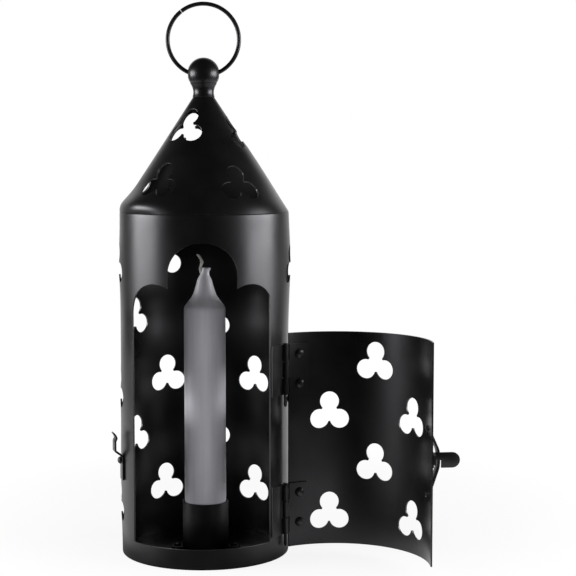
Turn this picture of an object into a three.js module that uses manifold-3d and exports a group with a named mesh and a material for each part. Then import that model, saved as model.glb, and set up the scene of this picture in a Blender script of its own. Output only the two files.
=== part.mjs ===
import * as THREE from 'three';
import Module from 'manifold-3d';
import { mergeVertices } from 'three/addons/utils/BufferGeometryUtils.js';

// A black sheet-metal candle lantern in millimetres, +Z up. The origin is the middle of the
// floor's underside, and the arched window faces -Y. Azimuths are in degrees from +X, seen
// from above. At rest the curved door stands open to the right and the carry ring stands up.

// Tube and floor
const tubeRadius = 45;
const tubeHeight = 184;
const sheet = 0.9;
const frontAzimuth = -90.7;
const restGap = 0.3;

// Roof cone
const roofRise = 60.5;
const roofTipRadius = 5.6;

// Trefoil punch, the same in tube, roof and door
const lobeRadius = 5.2;
const lobeReach = 6.3;
const lobeHalfSweep = 134;
const cutDepth = 5.4;

// Trefoils on the tube, each marked out by hand in staggered columns: azimuth and height
const tubeTrefoils = [
  [-174.5, 26.3], [-174.5, 87.9], [-174.5, 155.1],
  [151.8, 58.5], [152.3, 124],
  [123.3, 28.4], [121.5, 90], [123.8, 156],
  [88.1, 58], [88.1, 120.8],
  [53.7, 27.7], [53.8, 89.7], [54.3, 151.6],
  [20.3, 59.2], [20.3, 120.8],
  [0.5, 28.4], [0.5, 90], [-3.5, 154.5],
];

// Trefoils on the roof: five near the rim and three above, by azimuth and rise from the rim
const roofTrefoils = [
  [-128.3, 16.4], [-56.4, 14.9], [20, 15.6], [96, 15.6], [166, 15.6],
  [-124.6, 44.8], [-9, 41], [125, 43],
];

// Window in the tube. A tall middle arch stands between two low ones; the window was sawn by
// hand, so its low arches differ a little and the tall one stands to the right of the middle.
const sillHeight = 10.7;
const windowHalfAngle = 53.2;
const crownMargin = 14.5;
const crownRise = 16.5;
const cuspDrop = 23.5;
const leftArch = { inset: 16.7, radius: 16.8, drop: 38.2 };
const rightArch = { inset: 13.5, radius: 16.1, drop: 37.5 };

// Door
const doorSill = 4.8;
const doorCrownGap = 49.4;
const doorHingeEdge = -28;
const doorFreeEdge = -151.5;
const doorEdgeGap = 0.4;
const doorOpening = 150;
const doorColumnStep = 30.5;
const doorMiddleColumn = -86.5;
const doorRowPitch = 54.6;
const doorRowDrop = 43.9;

// Butt hinges
const hingeAzimuth = -22.5;
const hingeHeight = 26.6;
const upperHingeDrop = 19.1;
const lowerHingeRise = 21.3;
const leafThickness = 0.8;
const bodyLeafReach = 11.4;
const doorLeafReach = 15;
const knuckleRadius = 1.75;
const pinRadius = 0.85;
const pinHeadRadius = 1.45;
const pinHeadHeight = 0.5;
const pinTail = 6.3;
const leafRoom = 1.8;
const hingeRivetPitch = 16.1;
const bodyRivetReach = 6.9;
const doorRivetReach = 10.4;

// Rivets, with bigger heads inside the door and on the keeper
const rivetShankRadius = 1;
const rivetHeadRadius = 1.85;
const rivetHeadHeight = 0.95;
const doorRivetHeadRadius = 2.5;
const doorRivetHeadHeight = 1.1;
const keeperRivetHeadRadius = 2;
const keeperRivetHeadHeight = 1.7;
const rivetTailRadius = 1.6;
const rivetTailHeight = 0.6;

// Latch: a curved bolt under a bowed bridge on the door, and a keeper on the tube
const latchHeight = 58.5;
const boltWidth = 8;
const boltThickness = 1.2;
const boltTongueLow = -1;
const boltTongueLength = 8;
const boltTailLength = 21;
const boltProud = 0.8;
const tabReach = 14.8;
const tabNeckReach = 5;
const bridgeWidth = 5.5;
const bridgeAbove = 18.1;
const bridgeBelow = 20.9;
const bridgeFoot = 4.6;
const bridgeCrest = 4;
const bridgeRoom = 3.1;
const bridgeSetback = 12.6;
const keeperAzimuth = -163;
const keeperWidth = 6.4;
const keeperStandoff = 4.3;
const keeperFoot = 12.5;
const keeperAbove = 7.8;
const keeperKneeRoom = 0.8;
const keeperJoggle = 3;
const keeperRivetInset = 2;
const keeperDetent = 0.8;
const keeperLip = 0.7;

// Candle and its cup
const candleRadius = 11.2;
const candleHeight = 130.5;
const candleTaper = 21;
const candleTipWall = 1.2;
const taperHollow = 2.2;
const taperSteps = 6;
const cupWall = 0.9;
const cupFloor = 1;
const cupHeight = 26;
const lugLength = 6.1;
const lugWidth = 9;
const lugRivetInset = 3.2;
const wickRadius = 0.9;
const wickDepth = 7.5;
const wickHeight = 7.8;
const wickLean = 3.9;

// Finial and carry ring
const ballRadius = 8.5;
const neckRadius = 5.45;
const neckHeight = 5.8;
const neckFlare = 0.45;
const ballUnderside = -35;
const spigotDrop = 2.9;
const spigotHeadLip = 0.7;
const spigotHeadHeight = 1.3;
const ringRoom = 1.4;
const ringRadius = 18.9;
const ringWireRadius = 1.1;
const ringSplitAzimuth = 128;
const ringSplit = 0.5;

// Facets
const shellSegments = 40;
const turnedSegments = 24;
const smallSegments = 12;
const rivetSegments = 8;
const lobeSteps = 6;
const arcStep = 9;
const ringSteps = 40;
const wireSides = 8;
const wickSteps = 14;
const archSteps = 8;
const ballSteps = 9;

const wasm = await Module();
wasm.setup();

const radians = THREE.MathUtils.degToRad;
const degreesOfArc = (length, radius) => THREE.MathUtils.radToDeg(length / radius);

// Heights and radii that several pieces share
const tubeBore = tubeRadius - sheet;
const roofSlope = Math.atan2(tubeRadius - roofTipRadius, roofRise);
const roofTip = tubeHeight + roofRise;
const crownHeight = tubeHeight - crownMargin;
const doorTop = crownHeight - doorCrownGap;
const hingeRadius = tubeRadius + restGap + knuckleRadius;
const hingeBase = { lower: doorSill + lowerHingeRise - hingeHeight / 2 };
hingeBase.upper = doorTop - upperHingeDrop - hingeHeight / 2;
const leafStack = 2 * leafThickness + leafRoom + 2 * restGap;
const doorOffset = doorArcOffset();
const doorInner = tubeRadius + doorEdgeGap - doorOffset * Math.cos(radians(doorFreeEdge));
const doorOuter = doorInner + sheet;
const boltInner = doorOuter + restGap;
const boltOuter = boltInner + boltThickness;
const neckTop = roofTip + neckHeight;
const ballHeight = neckTop + Math.sqrt(ballRadius ** 2 - neckRadius ** 2);
const ringHoleRadius = ringWireRadius + ringRoom;
const candleBase = sheet + cupFloor + restGap;
const candleShoulder = candleBase + candleHeight;
const candleTip = candleShoulder + candleTaper;
const cupBore = candleRadius + restGap;
const cupRadius = cupBore + cupWall;
const lugRivetReach = cupRadius + lugLength - lugRivetInset;

// The closed door stands off the tube by the folded hinge leaves on one side and nearly
// touches it on the other, so its arc has its centre a little towards the hinge.
function doorArcOffset() {
  const spread = Math.cos(radians(doorHingeEdge)) - Math.cos(radians(doorFreeEdge));
  return (leafStack - doorEdgeGap) / spread;
}

// Solids and geometries

function solidOf(geometry) {
  const bare = geometry.clone();
  bare.deleteAttribute('normal');
  bare.deleteAttribute('uv');
  const merged = mergeVertices(bare, 1e-4);
  const corners = merged.index.array;
  const triangles = [];
  for (let i = 0; i < corners.length; i += 3) {
    const [a, b, c] = [corners[i], corners[i + 1], corners[i + 2]];
    if (a !== b && b !== c && c !== a) triangles.push(a, b, c);
  }
  return new wasm.Manifold(new wasm.Mesh({
    numProp: 3,
    vertProperties: new Float32Array(merged.attributes.position.array),
    triVerts: new Uint32Array(triangles),
  }));
}

function geometryOf(solid) {
  const faces = solid.getMesh();
  const geometry = new THREE.BufferGeometry();
  geometry.setAttribute('position', new THREE.BufferAttribute(faces.vertProperties, 3));
  geometry.setIndex(new THREE.BufferAttribute(faces.triVerts, 1));
  geometry.computeVertexNormals();
  return geometry;
}

function lathe(profile, segments) {
  const points = profile.map(([radius, height]) => new THREE.Vector2(radius, height));
  return new THREE.LatheGeometry(points, segments).rotateX(Math.PI / 2);
}

function rod(radius, low, high, segments = smallSegments) {
  return lathe([[0, low], [radius, low], [radius, high], [0, high]], segments);
}

function extrude(shape, depth, curveSegments = 1) {
  return new THREE.ExtrudeGeometry(shape, { depth, bevelEnabled: false, curveSegments });
}

// A plate bent round Z between two azimuths, from one height up to another
function arcPlate(inner, outer, from, to, low, high) {
  const steps = Math.max(2, Math.ceil((to - from) / arcStep));
  const rim = (radius, share) => {
    const turn = radians(THREE.MathUtils.lerp(from, to, share));
    return new THREE.Vector2(radius * Math.cos(turn), radius * Math.sin(turn));
  };
  const points = [];
  for (let i = 0; i <= steps; i += 1) points.push(rim(outer, i / steps));
  for (let i = steps; i >= 0; i -= 1) points.push(rim(inner, i / steps));
  return extrude(new THREE.Shape(points), high - low).translate(0, 0, low);
}

// A frame on a turned surface: X along the tangent, Y up the slope and Z outwards
function onSurface(azimuth, radius, height, slope = 0) {
  const turn = radians(azimuth);
  const outward = new THREE.Vector3(Math.cos(turn), Math.sin(turn), 0);
  const tangent = new THREE.Vector3(-Math.sin(turn), Math.cos(turn), 0);
  const origin = outward.clone().multiplyScalar(radius).setZ(height);
  const up = new THREE.Vector3(0, 0, Math.cos(slope)).addScaledVector(outward, -Math.sin(slope));
  const normal = new THREE.Vector3().crossVectors(tangent, up);
  return new THREE.Matrix4().makeBasis(tangent, up, normal).setPosition(origin);
}

// A strip of even thickness along a smooth line of [outwards, up] points, so wide along X
function bentStrip(line, thickness, width) {
  const curve = new THREE.SplineCurve(line.map(([out, up]) => new THREE.Vector2(out, up)));
  const steps = line.length * 2;
  const near = [];
  const far = [];
  for (let i = 0; i <= steps; i += 1) {
    const point = curve.getPoint(i / steps);
    const along = curve.getTangent(i / steps);
    const side = new THREE.Vector2(-along.y, along.x).multiplyScalar(thickness / 2);
    near.push(point.clone().add(side));
    far.unshift(point.clone().sub(side));
  }
  const strip = extrude(new THREE.Shape([...near, ...far]), width);
  return strip.translate(0, 0, -width / 2).rotateY(-Math.PI / 2);
}

// Trefoils

function trefoilShape() {
  const points = [];
  for (const lobe of [90, 210, 330]) {
    const x = lobeReach * Math.cos(radians(lobe));
    const y = lobeReach * Math.sin(radians(lobe));
    for (let i = 0; i <= lobeSteps; i += 1) {
      const turn = radians(lobe + lobeHalfSweep * ((2 * i) / lobeSteps - 1));
      points.push(new THREE.Vector2(x + lobeRadius * Math.cos(turn), y + lobeRadius * Math.sin(turn)));
    }
  }
  return new THREE.Shape(points);
}

function trefoilPunch(azimuth, radius, height, slope = 0) {
  const punch = extrude(trefoilShape(), 2 * cutDepth).translate(0, 0, -cutDepth);
  return solidOf(punch.applyMatrix4(onSurface(azimuth, radius, height, slope)));
}

function drill(azimuth, radius, height, holeRadius = rivetShankRadius + restGap) {
  const bit = rod(holeRadius, -cutDepth, cutDepth);
  return solidOf(bit.applyMatrix4(onSurface(azimuth, radius, height)));
}

// Tube, with its window, trefoils and rivet holes

// A low arch from the jamb up and over to its cusp; distances are from the window's middle
function sideArchPoints({ inset, radius, drop }) {
  const jamb = tubeRadius * radians(windowHalfAngle);
  const archCentre = crownHeight - drop;
  const startTurn = Math.acos(inset / radius);
  const endTurn = Math.PI - Math.asin((crownHeight - cuspDrop - archCentre) / radius);
  const points = [];
  for (let i = 0; i <= archSteps; i += 1) {
    const turn = THREE.MathUtils.lerp(startTurn, endTurn, i / archSteps);
    points.push([jamb - inset + radius * Math.cos(turn), archCentre + radius * Math.sin(turn)]);
  }
  return points;
}

function windowOutline() {
  const jamb = tubeRadius * radians(windowHalfAngle);
  const right = sideArchPoints(rightArch);
  const left = sideArchPoints(leftArch).reverse().map(([along, up]) => [-along, up]);
  const [rightCusp] = right[archSteps];
  const [leftCusp] = left[0];
  const middle = (rightCusp + leftCusp) / 2;
  const crown = [];
  for (let i = 0; i <= 2 * archSteps; i += 1) {
    const turn = (Math.PI * i) / (2 * archSteps);
    const along = middle + (rightCusp - middle) * Math.cos(turn);
    crown.push([along, crownHeight - crownRise + crownRise * Math.sin(turn)]);
  }
  return [[jamb, sillHeight], ...right, ...crown, ...left, [-jamb, sillHeight]];
}

// The outline is drawn on the flat sheet; each distance becomes an arc on the tube. The jambs
// are radial, as on a sheet that is cut before it is rolled.
function windowCut() {
  const reach = 1.4 * tubeRadius;
  const flat = windowOutline().map(([along, up]) => (
    new THREE.Vector2(tubeRadius * Math.sin(along / tubeRadius), up)
  ));
  const prism = extrude(new THREE.Shape(flat), reach).rotateX(Math.PI / 2);
  const sector = arcPlate(1, reach, -90 - windowHalfAngle, -90 + windowHalfAngle, 0, tubeHeight);
  const cut = solidOf(prism).intersect(solidOf(sector));
  return cut.rotate([0, 0, frontAzimuth + 90]);
}

function bodyTube() {
  const wall = lathe([
    [tubeBore, 0], [tubeRadius, 0], [tubeRadius, tubeHeight], [tubeBore, tubeHeight], [tubeBore, 0],
  ], shellSegments);
  let shell = solidOf(wall).subtract(windowCut());
  for (const [azimuth, height] of tubeTrefoils) {
    shell = shell.subtract(trefoilPunch(azimuth, tubeRadius - sheet / 2, height));
  }
  for (const hole of [...bodyLeafHoles(), keeperHole()]) shell = shell.subtract(hole);
  return geometryOf(shell);
}

function floorDisc() {
  let disc = solidOf(rod(tubeBore - restGap, 0, sheet, shellSegments));
  for (const side of [-1, 1]) disc = disc.subtract(lugDrill(side));
  return geometryOf(disc);
}

// Roof cone, open at the tip for the finial's spigot

function roofRadiusAt(rise) {
  return tubeRadius - rise * Math.tan(roofSlope);
}

function roofCone() {
  const wall = sheet / Math.cos(roofSlope);
  let cone = solidOf(lathe([
    [tubeRadius - wall, tubeHeight],
    [tubeRadius, tubeHeight],
    [roofTipRadius, roofTip],
    [roofTipRadius - wall, roofTip],
    [tubeRadius - wall, tubeHeight],
  ], shellSegments));
  for (const [azimuth, rise] of roofTrefoils) {
    cone = cone.subtract(trefoilPunch(azimuth, roofRadiusAt(rise), tubeHeight + rise, roofSlope));
  }
  return geometryOf(cone);
}

// Finial: a ball on a neck whose spigot is riveted over inside the roof tip

function finialKnob() {
  const spigotRadius = roofTipRadius - sheet / Math.cos(roofSlope) - restGap;
  const headRadius = spigotRadius + spigotHeadLip;
  const headTop = roofTip - spigotDrop;
  const profile = [
    [0, headTop - spigotHeadHeight],
    [0.7 * headRadius, headTop - spigotHeadHeight],
    [headRadius, headTop - spigotHeadHeight / 2],
    [headRadius, headTop],
    [spigotRadius, headTop],
    [spigotRadius, roofTip],
    [roofTipRadius + restGap, roofTip],
    [neckRadius + restGap / 3, roofTip + neckHeight / 4],
    [neckRadius, roofTip + neckHeight / 2],
    [neckRadius + neckFlare, neckTop - neckFlare],
  ];
  const lowTurn = radians(ballUnderside);
  for (let i = 0; i < ballSteps; i += 1) {
    const turn = THREE.MathUtils.lerp(lowTurn, Math.PI / 2, i / ballSteps);
    profile.push([ballRadius * Math.cos(turn), ballHeight + ballRadius * Math.sin(turn)]);
  }
  profile.push([0, ballHeight + ballRadius]);
  const knob = solidOf(lathe(profile, turnedSegments));
  const bit = rod(ringHoleRadius, -2 * ballRadius, 2 * ballRadius).rotateY(Math.PI / 2);
  return geometryOf(knob.subtract(solidOf(bit.translate(0, 0, ballHeight))));
}

// Carry ring: one bent wire, its ends nearly meeting, lying on the bottom of the ball's hole

class RingLine extends THREE.Curve {
  getPoint(t, target = new THREE.Vector3()) {
    const split = ringSplit / ringRadius;
    const turn = radians(ringSplitAzimuth) + split / 2 + t * (2 * Math.PI - split);
    return target.set(ringRadius * Math.cos(turn), 0, ringRadius * Math.sin(turn));
  }
}

function wireSection(radius, sides) {
  const shape = new THREE.Shape();
  for (let i = 0; i < sides; i += 1) {
    const turn = (2 * Math.PI * i) / sides;
    const corner = [radius * Math.cos(turn), radius * Math.sin(turn)];
    if (i === 0) shape.moveTo(...corner);
    else shape.lineTo(...corner);
  }
  return shape;
}

function carryRing() {
  const wire = new THREE.ExtrudeGeometry(wireSection(ringWireRadius, wireSides), {
    steps: ringSteps, bevelEnabled: false, extrudePath: new RingLine(),
  });
  const seat = ballHeight - ringHoleRadius + restGap + ringWireRadius;
  return wire.translate(0, 0, seat + ringRadius);
}

// Candle cup: a drawn cup with two lugs riveted to the floor

function lugDrill(side) {
  const bit = rod(rivetShankRadius + restGap, -restGap, sheet + cupFloor + restGap);
  return solidOf(bit.translate(side * lugRivetReach, 0, 0));
}

function candleCup() {
  const base = sheet + cupFloor;
  const top = sheet + cupHeight;
  let cup = solidOf(lathe([
    [0, sheet], [cupRadius, sheet], [cupRadius, top], [cupBore, top], [cupBore, base], [0, base],
  ], turnedSegments));
  for (const side of [-1, 1]) {
    const length = cupRadius - cupBore + lugLength;
    const lug = new THREE.BoxGeometry(length, lugWidth, cupFloor);
    lug.translate(side * (cupBore + length / 2), 0, sheet + cupFloor / 2);
    cup = cup.add(solidOf(lug)).subtract(lugDrill(side));
  }
  return geometryOf(cup);
}

function candleWax() {
  const tipRadius = wickRadius + restGap + candleTipWall;
  const profile = [[0, candleBase], [candleRadius, candleBase], [candleRadius, candleShoulder]];
  for (let i = 1; i <= taperSteps; i += 1) {
    const share = i / taperSteps;
    const radius = tipRadius + (candleRadius - tipRadius) * (1 - share) ** taperHollow;
    profile.push([radius, candleShoulder + candleTaper * share]);
  }
  profile.push([0, candleTip]);
  const socket = rod(wickRadius + restGap, candleTip - wickDepth - restGap, candleTip + restGap);
  return geometryOf(solidOf(lathe(profile, turnedSegments)).subtract(solidOf(socket)));
}

// The wick stands straight in the wax and leans over to the left above it
function candleWick() {
  const line = new THREE.CatmullRomCurve3([
    new THREE.Vector3(0, 0, candleTip - wickDepth),
    new THREE.Vector3(0, 0, candleTip),
    new THREE.Vector3(-0.15 * wickLean, 0, candleTip + 0.33 * wickHeight),
    new THREE.Vector3(-0.4 * wickLean, 0, candleTip + 0.64 * wickHeight),
    new THREE.Vector3(-wickLean, 0, candleTip + wickHeight),
  ]);
  return new THREE.ExtrudeGeometry(wireSection(wickRadius, wireSides), {
    steps: wickSteps, bevelEnabled: false, extrudePath: line,
  });
}

// Rivets: a domed head above, a shank, and a coned tail below unless its height is 0

function rivet(low, high, head = {}) {
  const { radius = rivetHeadRadius, rise = rivetHeadHeight, tail = rivetTailHeight } = head;
  const profile = [[0, low - tail]];
  if (tail > 0) {
    profile.push([0.7 * rivetTailRadius, low - tail], [rivetTailRadius, low]);
  }
  profile.push([rivetShankRadius, low], [rivetShankRadius, high], [radius, high]);
  profile.push([0.82 * radius, high + 0.62 * rise]);
  profile.push([0.42 * radius, high + 0.94 * rise], [0, high + rise]);
  return lathe(profile, rivetSegments);
}

function cupRivet(side) {
  return rivet(0, sheet + cupFloor + restGap, { tail: 0 }).translate(side * lugRivetReach, 0, 0);
}

// Hinges. A leaf is one bent sheet with its knuckles: two on the tube's leaf, one on the door's.

const hingeCentre = new THREE.Vector2(
  hingeRadius * Math.cos(radians(hingeAzimuth)),
  hingeRadius * Math.sin(radians(hingeAzimuth)),
);

function aroundHinge(radius, low, high) {
  return solidOf(rod(radius, low, high).translate(hingeCentre.x, hingeCentre.y, 0));
}

function knuckleSpans(base) {
  const third = hingeHeight / 3;
  return {
    body: [[base, base + third - restGap / 2], [base + 2 * third + restGap / 2, base + hingeHeight]],
    door: [[base + third + restGap / 2, base + 2 * third - restGap / 2]],
  };
}

function leafWithKnuckles(plate, own, others) {
  let leaf = plate;
  for (const [low, high] of others) {
    leaf = leaf.subtract(aroundHinge(knuckleRadius + restGap, low - restGap, high + restGap));
  }
  for (const [low, high] of own) leaf = leaf.add(aroundHinge(knuckleRadius, low, high));
  return leaf;
}

function bodyLeafRivets(base) {
  const azimuth = hingeAzimuth - degreesOfArc(bodyRivetReach, tubeRadius);
  const middle = base + hingeHeight / 2;
  return [-1, 1].map((side) => ({ azimuth, height: middle + (side * hingeRivetPitch) / 2 }));
}

function bodyLeafHoles() {
  const rivets = [...bodyLeafRivets(hingeBase.lower), ...bodyLeafRivets(hingeBase.upper)];
  return rivets.map(({ azimuth, height }) => drill(azimuth, tubeRadius, height));
}

function bodyLeaf(base) {
  const inner = tubeRadius + restGap;
  const far = hingeAzimuth - degreesOfArc(bodyLeafReach, tubeRadius);
  const plate = arcPlate(inner, inner + leafThickness, far, hingeAzimuth, base, base + hingeHeight);
  const spans = knuckleSpans(base);
  let leaf = leafWithKnuckles(solidOf(plate), spans.body, spans.door);
  leaf = leaf.subtract(aroundHinge(pinRadius + restGap, base - 1, base + hingeHeight + 1));
  for (const { azimuth, height } of bodyLeafRivets(base)) {
    leaf = leaf.subtract(drill(azimuth, inner, height));
  }
  return geometryOf(leaf);
}

// The tube's hinge rivets have flush heads, so that the door's leaf folds down over them
function bodyLeafRivet({ azimuth, height }) {
  const low = -sheet - restGap;
  const high = restGap + leafThickness;
  const shank = lathe([
    [0, low - rivetTailHeight],
    [rivetTailRadius * 0.7, low - rivetTailHeight],
    [rivetTailRadius, low],
    [rivetShankRadius, low],
    [rivetShankRadius, high],
    [0, high],
  ], rivetSegments);
  return shank.applyMatrix4(onSurface(azimuth, tubeRadius, height));
}

// The pin hangs by its head on the top knuckle, and its tapered tail shows under the bottom one
function hingePin(base) {
  const low = base - restGap - pinTail;
  const top = base + hingeHeight + restGap;
  const pin = lathe([
    [0, low],
    [0.7 * pinRadius, low],
    [pinRadius, low + pinRadius],
    [pinRadius, top],
    [pinHeadRadius, top],
    [pinHeadRadius, top + pinHeadHeight],
    [0, top + pinHeadHeight],
  ], smallSegments);
  return pin.translate(hingeCentre.x, hingeCentre.y, 0);
}

// Door pieces are drawn closed, round the door's own axis at X = doorOffset, and the whole
// group is then turned open about the hinge pins.

function onDoor(geometry) {
  return geometry.translate(doorOffset, 0, 0);
}

function doorLeafRivets(base) {
  const azimuth = hingeAzimuth - degreesOfArc(doorRivetReach, doorInner);
  const middle = base + hingeHeight / 2;
  return [-1, 1].map((side) => ({ azimuth, height: middle + (side * hingeRivetPitch) / 2 }));
}

function bridgeRivetHeights() {
  const inset = bridgeFoot / 2;
  return [latchHeight - bridgeBelow + inset, latchHeight + bridgeAbove - inset];
}

const bridgeAzimuth = doorFreeEdge + degreesOfArc(bridgeSetback, doorOuter);

function doorTrefoils() {
  const cuts = [];
  for (const column of [-1, 0, 1]) {
    const azimuth = doorMiddleColumn + column * doorColumnStep;
    const raise = column === 0 ? doorRowPitch / 2 : 0;
    const lowest = doorSill + lobeReach + lobeRadius;
    for (let height = doorTop - doorRowDrop + raise; height > lowest; height -= doorRowPitch) {
      cuts.push(trefoilPunch(azimuth, doorInner + sheet / 2, height));
    }
  }
  return cuts;
}

function doorPanel() {
  let panel = solidOf(arcPlate(doorInner, doorOuter, doorFreeEdge, doorHingeEdge, doorSill, doorTop));
  for (const cut of doorTrefoils()) panel = panel.subtract(cut);
  const rivets = [...doorLeafRivets(hingeBase.lower), ...doorLeafRivets(hingeBase.upper)];
  for (const { azimuth, height } of rivets) {
    panel = panel.subtract(drill(azimuth, doorInner, height));
  }
  for (const height of bridgeRivetHeights()) {
    panel = panel.subtract(drill(bridgeAzimuth, doorInner, height));
  }
  return onDoor(geometryOf(panel));
}

function doorLeaf(base) {
  const outer = doorInner - restGap;
  const far = hingeAzimuth - degreesOfArc(doorLeafReach, doorInner);
  const plate = arcPlate(outer - leafThickness, outer, far, hingeAzimuth, base, base + hingeHeight);
  const spans = knuckleSpans(base);
  let leaf = leafWithKnuckles(solidOf(onDoor(plate)), spans.door, spans.body);
  leaf = leaf.subtract(aroundHinge(pinRadius + restGap, base - 1, base + hingeHeight + 1));
  for (const { azimuth, height } of doorLeafRivets(base)) {
    leaf = leaf.subtract(drill(azimuth, outer, height).translate([doorOffset, 0, 0]));
  }
  return geometryOf(leaf);
}

// The door's hinge rivets have their domed heads on the inside, where the leaf is
function doorLeafRivet({ azimuth, height }) {
  const low = -sheet - restGap;
  const high = 2 * restGap + leafThickness;
  const head = { radius: doorRivetHeadRadius, rise: doorRivetHeadHeight };
  const pin = rivet(low, high, head).rotateX(Math.PI);
  return onDoor(pin.applyMatrix4(onSurface(azimuth, doorInner, height)));
}

// Latch

function latchBridge() {
  const lift = boltOuter - doorOuter + bridgeRoom + sheet / 2;
  const flat = restGap + sheet / 2;
  const lowFoot = -bridgeBelow + bridgeFoot;
  const highFoot = bridgeAbove - bridgeFoot;
  const line = [
    [flat, -bridgeBelow],
    [flat, lowFoot],
    [(flat + lift) / 2, (lowFoot - bridgeCrest) / 2],
    [lift, -bridgeCrest],
    [lift, bridgeCrest],
    [(flat + lift) / 2, (highFoot + bridgeCrest) / 2],
    [flat, highFoot],
    [flat, bridgeAbove],
  ];
  const strip = bentStrip(line, sheet, bridgeWidth);
  let bridge = solidOf(strip.applyMatrix4(onSurface(bridgeAzimuth, doorOuter, latchHeight)));
  for (const height of bridgeRivetHeights()) {
    bridge = bridge.subtract(drill(bridgeAzimuth, doorOuter, height));
  }
  return onDoor(geometryOf(bridge));
}

function bridgeRivet(height) {
  const pin = rivet(-sheet - restGap, 2 * restGap + sheet);
  return onDoor(pin.applyMatrix4(onSurface(bridgeAzimuth, doorOuter, height)));
}

// Bolt: tail under the bridge, a finger tab bent outwards on a neck, and a narrower tongue. The
// tongue and the neck each keep the upper part of the strip.
function latchBolt() {
  const tongueTip = doorFreeEdge - degreesOfArc(boltProud, boltInner);
  const tab = tongueTip + degreesOfArc(boltTongueLength, boltInner);
  const tail = tab + degreesOfArc(boltTailLength, boltInner);
  const half = boltWidth / 2;
  const top = latchHeight + half;
  const body = arcPlate(boltInner, boltOuter, tab, tail, latchHeight - half, top);
  const tongue = arcPlate(boltInner, boltOuter, tongueTip, tab + 1, latchHeight + boltTongueLow, top);
  const fin = new THREE.Shape();
  fin.moveTo(0, 0);
  fin.lineTo(tabNeckReach, 0);
  fin.lineTo(tabNeckReach, -half);
  fin.lineTo(tabReach - half, -half);
  fin.absarc(tabReach - half, 0, half, -Math.PI / 2, Math.PI / 2, false);
  fin.lineTo(0, half);
  const plate = extrude(fin, boltThickness, 5).translate(0, 0, -boltThickness).rotateY(-Math.PI / 2);
  plate.applyMatrix4(onSurface(tab, boltInner, latchHeight));
  return onDoor(geometryOf(solidOf(body).add(solidOf(tongue)).add(solidOf(plate))));
}

// Keeper: a spring strip riveted at its foot; it stands off the tube above, with a detent and lip
const keeperKnee = boltTongueLow - keeperKneeRoom;
const keeperRivetHeight = latchHeight + keeperKnee - keeperJoggle - keeperRivetInset;

function keeperHole() {
  return drill(keeperAzimuth, tubeRadius, keeperRivetHeight);
}

function latchKeeper() {
  const flat = restGap + sheet / 2;
  const out = keeperStandoff + sheet / 2;
  const footTop = keeperKnee - keeperJoggle;
  const line = [
    [flat, footTop - keeperFoot],
    [flat, footTop - keeperFoot / 2],
    [flat, footTop],
    [(flat + out) / 2, footTop + keeperJoggle / 2],
    [out, keeperKnee],
    [out, 0],
    [out, keeperAbove / 2],
    [out - keeperDetent, 0.7 * keeperAbove],
    [out, 0.9 * keeperAbove],
    [out + keeperLip, keeperAbove],
  ];
  const strip = bentStrip(line, sheet, keeperWidth);
  const keeper = solidOf(strip.applyMatrix4(onSurface(keeperAzimuth, tubeRadius, latchHeight)));
  return geometryOf(keeper.subtract(keeperHole()));
}

function keeperRivet() {
  const head = { radius: keeperRivetHeadRadius, rise: keeperRivetHeadHeight };
  const pin = rivet(-sheet - restGap, 2 * restGap + sheet, head);
  return pin.applyMatrix4(onSurface(keeperAzimuth, tubeRadius, keeperRivetHeight));
}

// Finishes

const blackPaint = { color: 0x1c1c1f, roughness: 0.42, metalness: 0.35 };
const blackSteel = { color: 0x151517, roughness: 0.5, metalness: 0.6 };
const wax = { color: 0xb9b8b6, roughness: 0.55, metalness: 0 };
const cotton = { color: 0xd8d5cc, roughness: 0.9, metalness: 0 };

function piece(name, geometry, finish) {
  const mesh = new THREE.Mesh(geometry, new THREE.MeshStandardMaterial(finish));
  mesh.name = name;
  return mesh;
}

// Assembly

const lantern = new THREE.Group();
lantern.add(
  piece('body_tube', bodyTube(), blackPaint),
  piece('floor_disc', floorDisc(), blackPaint),
  piece('roof_cone', roofCone(), blackPaint),
  piece('finial_knob', finialKnob(), blackPaint),
  piece('carry_ring', carryRing(), blackSteel),
  piece('candle_cup', candleCup(), blackPaint),
  piece('cup_rivet_left', cupRivet(-1), blackSteel),
  piece('cup_rivet_right', cupRivet(1), blackSteel),
  piece('candle_wax', candleWax(), wax),
  piece('candle_wick', candleWick(), cotton),
  piece('latch_keeper', latchKeeper(), blackSteel),
  piece('keeper_rivet', keeperRivet(), blackSteel),
);

const door = new THREE.Group();
door.add(
  piece('door_panel', doorPanel(), blackPaint),
  piece('latch_bridge', latchBridge(), blackSteel),
  piece('latch_bolt', latchBolt(), blackSteel),
);
bridgeRivetHeights().forEach((height, i) => {
  door.add(piece(`bridge_rivet_${['lower', 'upper'][i]}`, bridgeRivet(height), blackSteel));
});

for (const [level, base] of Object.entries(hingeBase)) {
  lantern.add(piece(`${level}_hinge_body_leaf`, bodyLeaf(base), blackSteel));
  lantern.add(piece(`${level}_hinge_pin`, hingePin(base), blackSteel));
  door.add(piece(`${level}_hinge_door_leaf`, doorLeaf(base), blackSteel));
  bodyLeafRivets(base).forEach((place, i) => {
    lantern.add(piece(`${level}_hinge_body_rivet_${i + 1}`, bodyLeafRivet(place), blackSteel));
  });
  doorLeafRivets(base).forEach((place, i) => {
    door.add(piece(`${level}_hinge_door_rivet_${i + 1}`, doorLeafRivet(place), blackSteel));
  });
}

// The door group turns about the hinge axis
const hinge = new THREE.Group();
hinge.position.set(hingeCentre.x, hingeCentre.y, 0);
hinge.rotation.z = radians(doorOpening);
door.position.set(-hingeCentre.x, -hingeCentre.y, 0);
hinge.add(door);
lantern.add(hinge);

export default lantern;
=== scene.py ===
import math

import bmesh
import bpy
from mathutils import Matrix, Vector


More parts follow.
